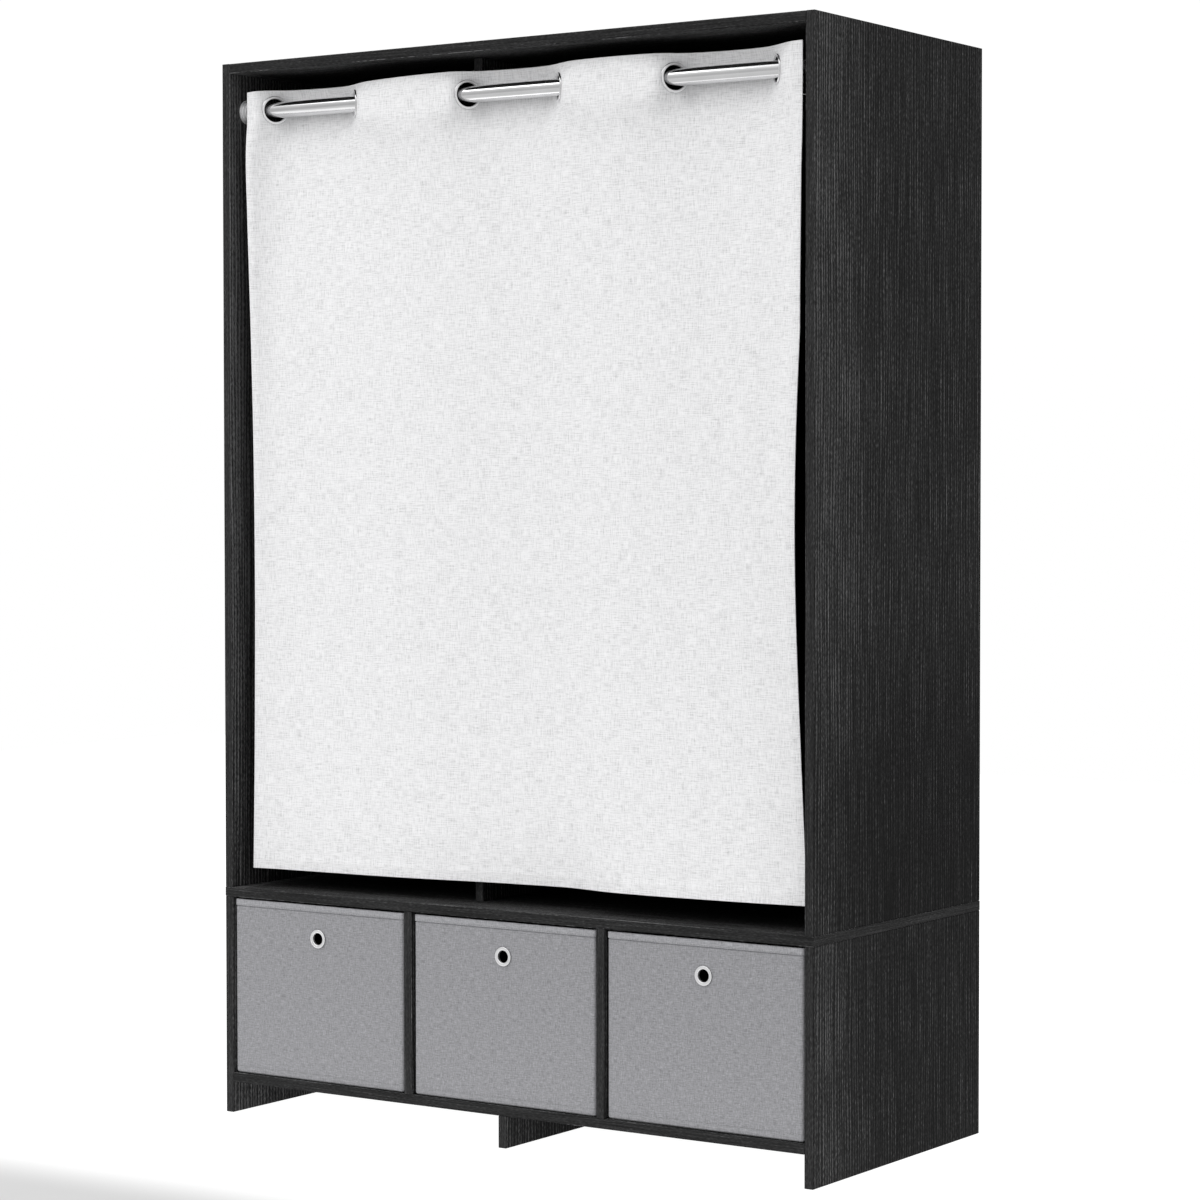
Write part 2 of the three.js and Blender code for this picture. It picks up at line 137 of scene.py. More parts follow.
def grey(value):  # a screen grey of 0 to 255 as a linear colour
    share = value / 255
    linear = share / 12.92 if share <= 0.04045 else ((share + 0.055) / 1.055) ** 2.4
    return (linear, linear, linear * 1.01)


def newMaterial(name, paint, *shades, **fixed):  # paint returns what varies over the surface
    material = bpy.data.materials.new(name)
    material.use_nodes = True
    material.node_tree.nodes.clear()
    nodes = Nodes(material.node_tree)
    inputs = {key.replace("_", " "): value for key, value in fixed.items()}
    shader = nodes.add("ShaderNodeBsdfPrincipled", {}, {**inputs, **paint(nodes, *shades)})
    nodes.add("ShaderNodeOutputMaterial", {}, {"Surface": shader})
    return material


# Black oak foil: fine broken streaks along each panel, and along each edge band

foil = {
    "dark": grey(18),
    "mid": grey(38),
    "light": grey(104),
    "streakSize": (0.001, 0.15),
    "poreSize": (0.0008, 0.006),
    "linePitch": 0.0071,  # the print's close dark and light lines
    "lineWander": (0.03, 0.5),  # and over what width and length their pitch drifts
    "bandSize": (0.07, 1 / 0.9),  # broad lighter and darker runs of the veneer print
    "sway": 0.004,  # how far a streak wanders
    "middle": 0.54,  # of the figure, which streaks, pores, broad runs and lines spread
    "spread": (0.6, 0.5, 0.05, 0.12),
    "lineDrift": 14,
    "frontPaintedLight": 0.07,  # painted light: how much lighter a panel's face gets towards its front edge
    "front": (-0.04, -0.24),
    "edgeTonesAndSheen": (-0.012, 0.004),  # and that edge, on lying boards and on uprights: the edge band's own tone with a painted sheen
    "faceTone": -0.055,
    "footPaintedShade": 0.062,  # painted shade: how much darker it gets low down
    "foot": (0.9, 0.46),
    "basePaintedShade": 0.03,  # and the painted shade on the sides below the middle board
    "leftPaintedLight": 0.06,  # painted light on the left sides' faces, for the light that reaches the inner face past the cloth's edge
    "edgeShare": 0.55,  # how much of the figure shows on the edge bands
    "jointHeight": 0.349,  # another sheet of foil above the middle board
    "sheetShift": 0.83,
}


def foilPaint(nodes, upright):
    place = nodes.place()
    x, y, z = nodes.split(place)
    toX, _, toZ = nodes.split(place.out("Normal"))
    above = z > foil["jointHeight"]
    onEnd = abs(toZ if upright else toX) > 0.75
    long, thin = (z, x) if upright else (x, z)
    along = long * (1 - onEnd) + y * onEnd
    across = thin + y * (1 - onEnd) + above * foil["sheetShift"]
    sway = nodes.grain(nodes.join(across * 9, along * 3.1, 4.7), detail=1.0)
    across = across + (sway - 0.5) * (2 * foil["sway"])

    def marks(size, seed, detail, rough=0.5):  # size is their width and length
        at = nodes.join(across * (1 / size[0]), along * (1 / size[1]), seed)
        return nodes.grain(at, detail=detail, rough=rough)
    broad = marks(foil["bandSize"], 1.3, 2.0)
    streak = marks(foil["streakSize"], 7.9, 3.0, 0.62)
    pore = marks(foil["poreSize"], 2.2, 1.5)
    drift = marks(foil["lineWander"], 5.1, 2.0)
    phase = across * (2 * math.pi / foil["linePitch"]) + drift * foil["lineDrift"]
    lines = nodes.add("ShaderNodeMath", {"operation": "SINE"}, {0: phase})
    # painted light: faces lighter towards their front edge
    toFront = nodes.rising(y, *foil["front"])
    toFoot = nodes.rising(z, *foil["foot"])
    onFace = abs(toX if upright else toZ) > 0.7
    # painted shade: upright faces darker low down, most on the sides below the middle board
    low = toFoot * above * foil["footPaintedShade"] + (1 - above) * foil["basePaintedShade"] if upright else 0.0
    # painted light: the left sides' faces lighter
    left = (1 - (x > -0.5)) * foil["leftPaintedLight"]
    tone = onFace * (toFront * foil["frontPaintedLight"] - low + left + foil["faceTone"])
    # the edge bands, lighter than the faces: their own tone and a painted sheen of the front light
    tone = tone + (1 - onFace) * foil["edgeTonesAndSheen"][upright]
    streaks, pores, runs, lineDepth = foil["spread"]
    spots = (streak - 0.5) * streaks + (pore - 0.5) * pores + (broad - 0.5) * runs
    spots = spots * (onFace * (1 - foil["edgeShare"]) + foil["edgeShare"])
    figure = spots + lines * (onFace * streak * lineDepth) + foil["middle"] + tone
    colour = nodes.ramp(figure, [
        (0.42, foil["dark"]), (0.53, foil["mid"]), (0.60, grey(56)), (0.70, foil["light"])])
    rough = nodes.ramp(figure, [(0.4, 0.82), (0.65, 0.64)])
    relief = nodes.bump(figure, 0.35, 0.0006)
    return {"Base Color": colour, "Roughness": rough, "Normal": relief}


# Linen: slubs that run both ways over a fine weave, along the cloth's own UV in metres

linen = {
    "base": grey(230.5),
    "shade": grey(184),
    "slub": (0.0015, 0.022),  # width and length
    "thread": 0.00062,
}


def weaveFigure(nodes, u, v, cloth):
    def run(along, across, width, length, seed):
        at = nodes.join(along * (1 / length), across * (1 / width), seed)
        return nodes.grain(at, detail=1.6) * 0.5
    (width, length), thread = cloth["slub"], cloth["thread"]
    slubs = run(u, v, width, length, 3.0) + run(v, u, width, length * 0.8, 11.0)
    threads = run(u, v, thread, thread * 9, 5.0) + run(v, u, thread, thread * 9, 17.0)
    return slubs, threads


def linenPaint(nodes):
    u, v, _ = nodes.split(nodes.add("ShaderNodeUVMap", {"uv_map": "cloth"}))
    slubs, threads = weaveFigure(nodes, u, v, linen)
    broad = nodes.grain(nodes.join(u * 26, v * 26, 1.0), detail=3.0)
    figure = slubs * 0.62 + threads * 0.32 + broad * 0.06
    colour = nodes.ramp(figure, [(0.36, linen["shade"]), (0.5, grey(221)), (0.58, linen["base"])])
    relief = nodes.bump(slubs, 0.25, 0.0006)
    relief = nodes.bump(threads, 0.3, 0.0003, relief)
    rough = nodes.ramp(figure, [(0.4, 0.95), (0.6, 0.85)])
    return {"Base Color": colour, "Roughness": rough, "Normal": relief}


# Heather weave of the bins: dark and pale yarns mixed, on faces square to the axes

heather = {
    "dark": grey(107),
    "mid": grey(136),
    "pale": grey(161),
    "tint": (1.0, 1.0, 1.035),
    "slub": (0.0014, 0.013),
    "thread": 0.0007,
}


def boxPlanes(nodes):
    place = nodes.place()
    x, y, z = nodes.split(place)
    toX, _, toZ = nodes.split(place.out("Normal"))
    side, flat = abs(toX) > 0.7, abs(toZ) > 0.7
    return x * (1 - side) + y * side, z * (1 - flat) + y * flat


def heatherPaint(nodes, shade):  # shade multiplies its colours
    u, v = boxPlanes(nodes)
    slubs, threads = weaveFigure(nodes, u, v, heather)
    mottle = nodes.grain(nodes.join(u * 420, v * 420, 6.0), detail=2.5)
    figure = slubs * 0.52 + threads * 0.28 + mottle * 0.2
    dark, mid, pale = (tuple(c * shade * t for c, t in zip(heather[k], heather["tint"]))
                       for k in ("dark", "mid", "pale"))
    colour = nodes.ramp(figure, [(0.36, dark), (0.5, mid), (0.64, pale)])
    relief = nodes.bump(figure, 0.4, 0.0005)
    rough = nodes.ramp(figure, [(0.4, 0.96), (0.6, 0.86)])
    return {"Base Color": colour, "Roughness": rough, "Normal": relief}


# Metals and boards

def metalPaint(nodes, base, rough, spread):
    place = nodes.place()
    smear = nodes.grain(place, 26.0, 3.0)
    fine = nodes.grain(place, 900.0, 2.0)
    figure = smear * 0.7 + fine * 0.3
    colour = nodes.ramp(figure, [(0.3, grey(base - 8)), (0.7, grey(base))])
    gloss = nodes.ramp(figure, [(0.35, rough), (0.65, rough + spread)])
    relief = nodes.bump(fine, 0.03, 0.0001)
    return {"Base Color": colour, "Roughness": gloss, "Normal": relief}


def boardPaint(nodes, dark, pale, fleck):
    place = nodes.place()
    fibres = nodes.grain(place, 1 / fleck, 4.0, 0.6)
    cloud = nodes.grain(place, 14.0, 2.0)
    figure = fibres * 0.75 + cloud * 0.25
    colour = nodes.ramp(figure, [(0.36, grey(dark)), (0.62, grey(pale))])
    rough = nodes.ramp(figure, [(0.4, 0.9), (0.6, 0.74)])
    relief = nodes.bump(fibres, 0.3, 0.0004)
    return {"Base Color": colour, "Roughness": rough, "Normal": relief}


def threadPaint(nodes, value):
    twist = nodes.grain(nodes.place(), 1500.0, 1.0)
    colour = nodes.ramp(twist, [(0.35, grey(value - 26)), (0.65, grey(value))])
    return {"Base Color": colour, "Normal": nodes.bump(twist, 0.3, 0.0002)}


woven = {"Specular_IOR_Level": 0.15, "Sheen_Weight": 0.08}
materials = {
    "foilUpright": newMaterial("blackOakUpright", foilPaint, True, Specular_IOR_Level=0.05),
    "foilLevel": newMaterial("blackOakLevel", foilPaint, False, Specular_IOR_Level=0.05),
    "linen": newMaterial("slubLinen", linenPaint, Specular_IOR_Level=0.15, Sheen_Weight=0.12),
    "weave": newMaterial("heatherWeave", heatherPaint, 1.0, **woven),
    # a lighter weave for the hem and the pale lowest edge, and a painted highlight on the front's
    # left corner
    "hemWeaveAndHighlight": newMaterial("hemWeaveAndHighlight", heatherPaint, 1.16, **woven),
    "chrome": newMaterial("polishedChrome", metalPaint, 226, 0.05, 0.05, Metallic=1.0),
    # dark chrome as painted shade: on bore walls turned from the light and round the bin rings'
    # outer edge
    "chromeShade": newMaterial("paintedShadeChrome", metalPaint, 110, 0.2, 0.1, Metallic=1.0),
    "satin": newMaterial("satinChrome", metalPaint, 238, 0.3, 0.08, Metallic=0.5),
    "nickel": newMaterial("satinNickel", metalPaint, 236, 0.26, 0.1, Metallic=0.9),
    "zinc": newMaterial("zincPlate", metalPaint, 205, 0.32, 0.14, Metallic=1.0),
    "hardboard": newMaterial(
        "darkHardboard", boardPaint, 20, 34, 0.0016, Specular_IOR_Level=0.25),
    "fibreboard": newMaterial(
        "bareFibreboard", boardPaint, 118, 150, 0.0012, Specular_IOR_Level=0.12),
    "linenThread": newMaterial("linenThread", threadPaint, 238, Roughness=0.8),
    "greyThread": newMaterial("greyThread", threadPaint, 128, Roughness=0.8),
}
print("materials", len(materials))


# Making meshes

def newPiece(name, data, finish=None):
    piece = bpy.data.objects.new(name, data)
    bpy.context.scene.collection.objects.link(piece)
    if finish:
        data.materials.append(materials[finish])
    return piece


def softened(mesh, degrees):
    mesh.shade_smooth()
    mesh.set_sharp_from_angle(angle=math.radians(degrees))


def applied(piece, degrees):  # the piece's mesh becomes what its modifiers make of it
    depsgraph = bpy.context.evaluated_depsgraph_get()
    result = bpy.data.meshes.new_from_object(piece.evaluated_get(depsgraph))
    piece.modifiers.clear()
    piece.data = result
    softened(result, degrees)


def meshOf(name, points, faces, merge=None, sharp=40):
    mesh = bpy.data.meshes.new(name)
    mesh.from_pydata(points, [], faces)
    if merge:
        work = bmesh.new()
        work.from_mesh(mesh)
        bmesh.ops.remove_doubles(work, verts=work.verts, dist=merge)
        bmesh.ops.dissolve_degenerate(work, edges=work.edges, dist=merge)
        bmesh.ops.recalc_face_normals(work, faces=work.faces)
        work.to_mesh(mesh)
        work.free()
    softened(mesh, sharp)
    return mesh


def turned(name, outline, centre, axis, sides, finish=None, closed=False):
    # outline is a list of (radius, distance along the axis)
    turn = Vector((0, 0, 1)).rotation_difference(Vector(axis)).to_matrix()
    points = []
    faces = []
    count = len(outline)
    for k in range(sides):
        angle = 2 * math.pi * k / sides
        for radius, rise in outline:
            spoke = Vector((radius * math.cos(angle), radius * math.sin(angle), rise))
            points.append(Vector(centre) + turn @ spoke)
        ahead = (k + 1) % sides
        for i in range(count if closed else count - 1):
            j = (i + 1) % count
            faces.append((k * count + i, ahead * count + i, ahead * count + j, k * count + j))
    return newPiece(name, meshOf(name, points, faces, merge=1e-6), finish)


def rounded(outline, radius, steps, closed=False):
    # the corners of a flat outline, eased by an arc where there is room for it
    corners = [Vector(p) for p in outline]
    count = len(corners)
    result = []
    for i, here in enumerate(corners):
        if not closed and i in (0, count - 1):
            result.append(tuple(here))
            continue
        back = corners[i - 1] - here
        on = corners[(i + 1) % count] - here
        reach = min(radius, back.length * 0.45, on.length * 0.45)
        start = here + back.normalized() * reach
        end = here + on.normalized() * reach
        for k in range(steps + 1):
            t = k / steps
            result.append(tuple((1 - t) ** 2 * start + 2 * t * (1 - t) * here + t * t * end))
    return result


def boxOf(node):
    return [Vector(corner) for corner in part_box(node)]


def middle(node):
    low, high = boxOf(node)
    return (low + high) / 2, (high - low) / 2


# What repeats: one shape set on points, turned by the points' aim

def setOnPoints():
    tree = bpy.data.node_groups.new("setOnPoints", "GeometryNodeTree")
    sockets = {"Points": "Geometry", "Shape": "Object", "Finish": "Material", "Uneven": "Float",
               "Seed": "Int"}
    for name, kind in sockets.items():
        tree.interface.new_socket(name, in_out="INPUT", socket_type="NodeSocket" + kind)
    tree.interface.new_socket("Result", in_out="OUTPUT", socket_type="NodeSocketGeometry")
    nodes = Nodes(tree)
    given = nodes.add("NodeGroupInput")
    aim, up = (nodes.add("GeometryNodeInputNamedAttribute", {"data_type": "FLOAT_VECTOR"},
                         {"Name": name}) for name in ("aim", "up"))
    along = nodes.add("FunctionNodeAlignRotationToVector", {"axis": "X"}, {"Vector": aim})
    facing = nodes.add("FunctionNodeAlignRotationToVector", {"axis": "Z", "pivot_axis": "X"},
                       {"Rotation": along, "Vector": up})
    vary = nodes.add("FunctionNodeRandomValue", {"data_type": "FLOAT"},
                     {2: 1 - given.out("Uneven"), 3: 1.0, "Seed": given.out("Seed")}, 1)
    shape = nodes.add("GeometryNodeObjectInfo", {}, {"Object": given.out("Shape")}, "Geometry")
    copies = nodes.add("GeometryNodeInstanceOnPoints", {}, {
        "Points": given.out("Points"), "Instance": shape, "Rotation": facing, "Scale": vary})
    solid = nodes.add("GeometryNodeRealizeInstances", {}, {0: copies})
    painted = nodes.add("GeometryNodeSetMaterial", {},
                        {"Geometry": solid, "Material": given.out("Finish")})
    nodes.add("NodeGroupOutput", {}, {0: painted})
    return tree


pointTree = setOnPoints()


def repeated(name, places, shape, finish, uneven=0.0, seed=1):
    # places is a list of (point, aim, up), and the shape goes once it has been copied there
    mesh = bpy.data.meshes.new(name)
    mesh.from_pydata([p for p, _, _ in places], [], [])
    for index, key in ((1, "aim"), (2, "up")):
        layer = mesh.attributes.new(key, "FLOAT_VECTOR", "POINT")
        layer.data.foreach_set("vector", [c for place in places for c in place[index]])
    carrier = newPiece(name, mesh)
    modifier = carrier.modifiers.new("set", "NODES")
    modifier.node_group = pointTree
    values = {"Shape": shape, "Finish": materials[finish], "Uneven": uneven, "Seed": seed}
    for item in pointTree.interface.items_tree:
        if item.in_out == "INPUT" and item.name in values:
            modifier[item.identifier] = values[item.name]
    applied(carrier, 60)
    bpy.data.objects.remove(shape)
    return carrier


def stitchShape(length, radius):  # a pinched bead of thread along X
    outline = [(0, -length / 2), (radius * 0.8, -length * 0.36), (radius, 0),
               (radius * 0.8, length * 0.36), (0, length / 2)]
    return turned("stitchShape", outline, (0, 0, 0), (1, 0, 0), 6)


def spaced(points, pitch):
    # even steps along a path of (point, up), each with the way that the path goes there
    runs = [(b[0] - a[0]).length for a, b in zip(points, points[1:])]
    total = sum(runs)
    count = max(1, int(total / pitch))
    places = []
    segment, passed = 0, 0.0
    for k in range(count):
        at = (k + 0.5) * total / count
        while passed + runs[segment] < at:
            passed += runs[segment]
            segment += 1
        (a, upA), (b, upB) = points[segment], points[segment + 1]
        share = (at - passed) / runs[segment]
        places.append((a.lerp(b, share), (b - a).normalized(), upA.lerp(upB, share).normalized()))
    return places


# Camera and room

view = {
    "place": (2.9017, -4.2912, 0.9836),
    "yaw": 33.993,  # degrees to the left of straight ahead
    "pitch": -1.889,
    "roll": -0.036,
    "lens": 100.416,
    "sensor": 36,
}

room = {
    "horizon": 0.62,  # brightness of the studio round the object, at the height of the eye
    "zenith": 2.2,
    "ground": 0.7,
    "fromRight": 0.12,  # how much brighter the right is than the middle, and the left darker
    "backdrop": 1.0,
    "backdropWay": (-0.559, 0.829, 0),  # where the white backdrop hangs
    "backdropEdge": (0.55, 0.9),
    "key": {"place": (-1.5, -3.9, 2.5), "to": (0, 0, 0.85), "size": (4.0, 3.0), "power": 70,
            "mirrored": False},
    # these two draw the lines along the chrome and light nothing else
    "upperStrip": {"place": (-1.95, -2.05, 3.6), "to": (-1.95, -1.95, 0), "size": (2.2, 1.1),
                   "power": 12, "mirrored": True},
    "lowerStrip": {"place": (-1.15, -0.42, 0.01), "to": (-1.15, -0.38, 2), "size": (1.0, 0.42),
                   "power": 0.8, "mirrored": True},
    "floorReach": 6.0,
    "floorDim": 0.49,  # its own light away from the object and the backdrop, where it is 1
    "floorFront": (-0.85, -0.6),
    "floorSide": (1.2, 0.9),
    "floorBack": (-0.25, 0.15),
}


def addCamera():
    data = bpy.data.cameras.new("photoCamera")
    data.lens = view["lens"]
    data.sensor_width = view["sensor"]
    data.clip_end = 60
    turn = (Matrix.Rotation(math.radians(view["yaw"]), 3, "Z")
            @ Matrix.Rotation(math.radians(90 + view["pitch"]), 3, "X")
            @ Matrix.Rotation(math.radians(view["roll"]), 3, "Z"))
    camera = newPiece("photoCamera", data)
    camera.matrix_world = Matrix.Translation(view["place"]) @ turn.to_4x4()
    bpy.context.scene.camera = camera


def addLight(name, lamp):
    data = bpy.data.lights.new(name, "AREA")
    data.shape = "RECTANGLE"
    data.size, data.size_y = lamp["size"]
    data.energy = lamp["power"]
    light = newPiece(name, data)
    light.location = lamp["place"]
    light.visible_glossy = lamp["mirrored"]
    light.visible_diffuse = not lamp["mirrored"]
    light.visible_camera = False
    aim = Vector(lamp["to"]) - Vector(lamp["place"])
    light.rotation_euler = aim.to_track_quat("-Z", "Y").to_euler()


def addRoom():
    world = bpy.data.worlds.new("studio")
    world.use_nodes = True
    world.node_tree.nodes.clear()
    nodes = Nodes(world.node_tree)
    way = nodes.add("ShaderNodeTexCoord", output="Generated")
    toRight, _, height = nodes.split(way)
    toBackdrop = nodes.add("ShaderNodeVectorMath", {"operation": "DOT_PRODUCT"},
                           {0: way, 1: room["backdropWay"]}, "Value")
    overhead = (height > 0) * height * height
    wall = nodes.rising(toBackdrop, *room["backdropEdge"])
    base = room["horizon"]
    under = (height > 0) * height - height
    around = base + toRight * room["fromRight"] + under * (room["ground"] - base)
    strength = around + overhead * (room["zenith"] - base) + wall * (room["backdrop"] - around)
    sky = nodes.add("ShaderNodeBackground", {}, {"Color": (1, 1, 1, 1), "Strength": strength})
    nodes.add("ShaderNodeOutputWorld", {}, {"Surface": sky})
    bpy.context.scene.world = world
    for name in ("key", "upperStrip", "lowerStrip"):
        addLight(name, room[name])

    def floorPaint(nodes):
        place = nodes.place()
        x, y, _ = nodes.split(place)
        toBack = x * room["backdropWay"][0] + y * room["backdropWay"][1]
        near = nodes.rising(y, *room["floorFront"]) * nodes.rising(abs(x), *room["floorSide"])
        behind = nodes.rising(toBack, *room["floorBack"])
        light = near + behind - near * behind
        cloud = nodes.grain(place, 2.0, 2.0)
        return {"Base Color": nodes.ramp(cloud, [(0.3, 0.1), (0.7, 0.12)]),
                "Emission Color": nodes.ramp(light, [(0.0, room["floorDim"]), (1.0, 1.0)])}
    reach = room["floorReach"]
    corners = [(-reach, -reach, 0), (reach, -reach, 0), (reach, reach, 0), (-reach, reach, 0)]
    mesh = meshOf("studioFloor", corners, [(0, 1, 2, 3)])
    mesh.materials.append(newMaterial(
        "studioFloor", floorPaint, Roughness=0.9, Emission_Strength=1.0))
    floor = newPiece("studioFloor", mesh)
    floor.location.z = -0.0006
    bpy.context.scene.view_settings.view_transform = "Standard"


addCamera()
addRoom()
print("camera and room")


# Panels keep their solids and get the foil

backs = ["lower_back_panel", "upper_back_left", "upper_back_right"]


def dressPanels():
    uprights = ["lower_side_left", "lower_side_right", "upper_side_left", "upper_side_right",
                "bay_divider_1", "bay_divider_2", "inner_divider", "centre_foot"]
    boards = ["bottom_board", "middle_board", "top_board"]
    boards += [name for name in frame["nodes"] if name.startswith("shelf_") and "pin" not in name]
    for names, finish in ((uprights, "foilUpright"), (boards, "foilLevel"), (backs, "hardboard")):
        for name in names:
            finishes = frame["nodes"][name].data.materials
            finishes.clear()
            finishes.append(materials[finish])


dressPanels()
print("panels dressed")


# Tubes in their sockets

tubes = {
    "wall": 0.0012,
    "sides": 64,
    "flange": 0.003,
    "collar": 0.0155,
    "easing": 0.0009,
}


def addTube(node):
    centre, half = middle(node)
    outer, inner, reach = half.z, half.z - tubes["wall"], half.x
    outline = [(inner, -reach), (outer, -reach), (outer, reach), (inner, reach)]
    outline = rounded(outline, tubes["wall"] * 0.4, 3, closed=True)
    tube = turned(node + "_tube", outline, centre, (1, 0, 0), tubes["sides"], "chrome", closed=True)
    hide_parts(node)
    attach(tube, carcass)


def addSocket(node, facing):
    centre, half = middle(node)
    flangeRadius, length = half.z, 2 * half.x
    rodNode = "curtain_rod" if node.startswith("rod") else "hanging_rail"
    bore = middle(rodNode)[1].z + 0.0003
    outline = [(0, 0), (flangeRadius, 0), (flangeRadius, tubes["flange"]),
               (tubes["collar"], tubes["flange"]), (tubes["collar"], length), (bore, length),
               (bore, tubes["flange"]), (0, tubes["flange"])]
    outline = rounded(outline, tubes["easing"], 4)
    foot = Vector((centre.x - facing * half.x, centre.y, centre.z))
    socket = turned(node + "_cup", outline, foot, (facing, 0, 0), tubes["sides"], "satin")
    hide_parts(node)
    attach(socket, carcass)


for name in ("curtain_rod", "hanging_rail"):
    addTube(name)
for name in ("rod_socket", "rail_socket"):
    addSocket(name + "_left", 1)
    addSocket(name + "_right", -1)
print("tubes and sockets")


# Shelf pins

def addPins():
    nodes = [name for name in frame["nodes"] if "_pin_" in name]
    reach = middle(nodes[0])[1]
    length, collar = 2 * reach.x, reach.z
    shaft, collarFrom, collarTo = 0.0025, 0.0085, 0.01
    outline = [(0, 0), (shaft, 0), (shaft, collarFrom), (collar, collarFrom), (collar, collarTo),
               (shaft, collarTo), (shaft, length), (0, length)]
    shape = turned("pinShape", rounded(outline, 0.0006, 3), (0, 0, 0), (1, 0, 0), 24)
    places = []
    for name in nodes:
        centre, _ = middle(name)
        way = 1 if "_a" in name else -1
        places.append((centre - Vector((way * length / 2, 0, 0)), (way, 0, 0), (0, 0, 1)))
    pins = repeated("shelf_pins", places, shape, "zinc")
    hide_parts(*nodes)
    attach(pins, carcass)


addPins()


# Nails along the edges of the thin backs

nails = {
    "pitch": 0.125,
    "inset": 0.0075,
    "head": 0.0032,
    "dome": 0.0006,
    "sunk": 0.0004,
    "seam": 0.004,  # beside the joint between the two upper backs
}


def addNails():
    outline = [(nails["head"], 0), (nails["head"] * 0.92, nails["dome"] * 0.6),
               (nails["head"] * 0.6, nails["dome"]), (0, nails["dome"] * 1.1)]
    outline = [(0, -nails["sunk"]), (nails["head"], -nails["sunk"]), *outline]
    shape = turned("nailShape", outline, (0, 0, 0), (0, 0, 1), 12)
    places = []
    for node in backs:
        low, high = boxOf(node)
        inset, seam = nails["inset"], nails["seam"]
        x0 = low.x + (seam if node == "upper_back_right" else inset)
        x1 = high.x - (seam if node == "upper_back_left" else inset)
        z0, z1 = low.z + inset, high.z - inset
        loop = [(x0, z0), (x1, z0), (x1, z1), (x0, z1), (x0, z0)]
        back = Vector((0, 1, 0))
        for (ax, az), (bx, bz) in zip(loop, loop[1:]):
            run = [(Vector((ax, high.y, az)), back), (Vector((bx, high.y, bz)), back)]
            places += spaced(run, nails["pitch"])
    piece = repeated("back_nails", places, shape, "zinc", uneven=0.06, seed=4)
    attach(piece, carcass)


addNails()
print("pins and nails")


# Curtain

curtain = {
    "thickness": 0.0016,  # at the header and hems, where the cloth lies double
    "single": 0.72,  # of that, elsewhere
    "backAngle": math.radians(58),  # how far the header turns back through an odd eyelet
    "frontAngle": math.radians(46),
    "bendSteps": 10,
    "flat": 0.02337,  # flat cloth each side of an eyelet's centre
    "hole": 0.0197,
    "patch": 0.0254,  # half the square of finer cloth round an eyelet
    "patchCells": 8,
    "cell": 0.0075,
    "sideHem": 0.015,
    "hem": 0.018,
    "hemCell": 0.0045,
    "edgeCell": 0.004,
    "fold": 0.0012,  # the cells just inside a hem, which end its double cloth
    "headerBand": 0.074,
    "endShares": (-0.9577, 0.9716),  # of half the inner width
    "hemEndShares": (-0.9605, 0.976),
    "hemRise": 0.0085,
    "waist": 0.018,  # how far the cloth narrows halfway down, and where that sets in
    "waistFrom": 0.1,
    "relax": 1.7,
    "crispDrop": 0.02,  # of the drop, in which the header's tight bends round off
    "pleatDrop": 0.07,  # and in which the round pleats lose most of their depth
    "pleatLeft": 0.2,  # what is left of them below that, which fades evenly to the hem
    "topCrisp": 0.3,  # how far the header's top edge keeps the tight bends
    "topDepth": 0.62,  # and the pleats' depth
    "endPulls": (0.042, 0.035),  # how far from its side edges the cloth stays drawn to the front
    "topRise": (-0.0075, -0.0044, -0.0051, -0.0004, -0.0003, -0.0002, -0.0008, -0.0008),
    "lean": (0, 0.05, 0.2, 0.16, 0.04, 0, 0, 0),  # how far a pleat drifts to the right as it falls
    "rightWaist": 0.0092,  # how far the right edge draws in halfway down
    "rightWaistFrom": 0.3,
    "softStart": 0.05,
    "curl": 0.0075,  # how far the left edge curls to the front
    "curlWidth": 0.023,
    "curlFrom": 0.04,  # of the drop, below which it is there
    "ripple": 0.0011,
    "ripples": ((1.0, 9, 2.2, 0.4), (0.5, 24, 5, 3.1)),  # share, counts across and down, seed
    "hemWave": (-0.47, -0.47, -0.47, -0.44, -0.25, 0.1, 0.28, 0.3, -0.48, -0.78, -0.78, -0.74,
                -0.58),  # of a pleat's depth, in even steps along the hem
    "stitchPitch": 0.0042,
    "stitch": (0.0029, 0.00028),
    "stitchInset": (0.002, 0.0022),  # from the inner edges of the side hems and of the hem
}

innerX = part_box("upper_side_right")[0][0]
rodCentre, _ = middle("curtain_rod")
eyeletNodes = sorted(name for name in frame["nodes"] if name.startswith("curtain_eyelet_"))
eyeletX = [middle(name)[0].x for name in eyeletNodes]
clothLow, clothHigh = boxOf("curtain_cloth")
pleat = (clothHigh.y - clothLow.y - curtain["thickness"]) / 2
eyeletV = clothHigh.z - rodCentre.z
dropTotal = clothHigh.z - clothLow.z
headerDrop = eyeletV + curtain["flat"]


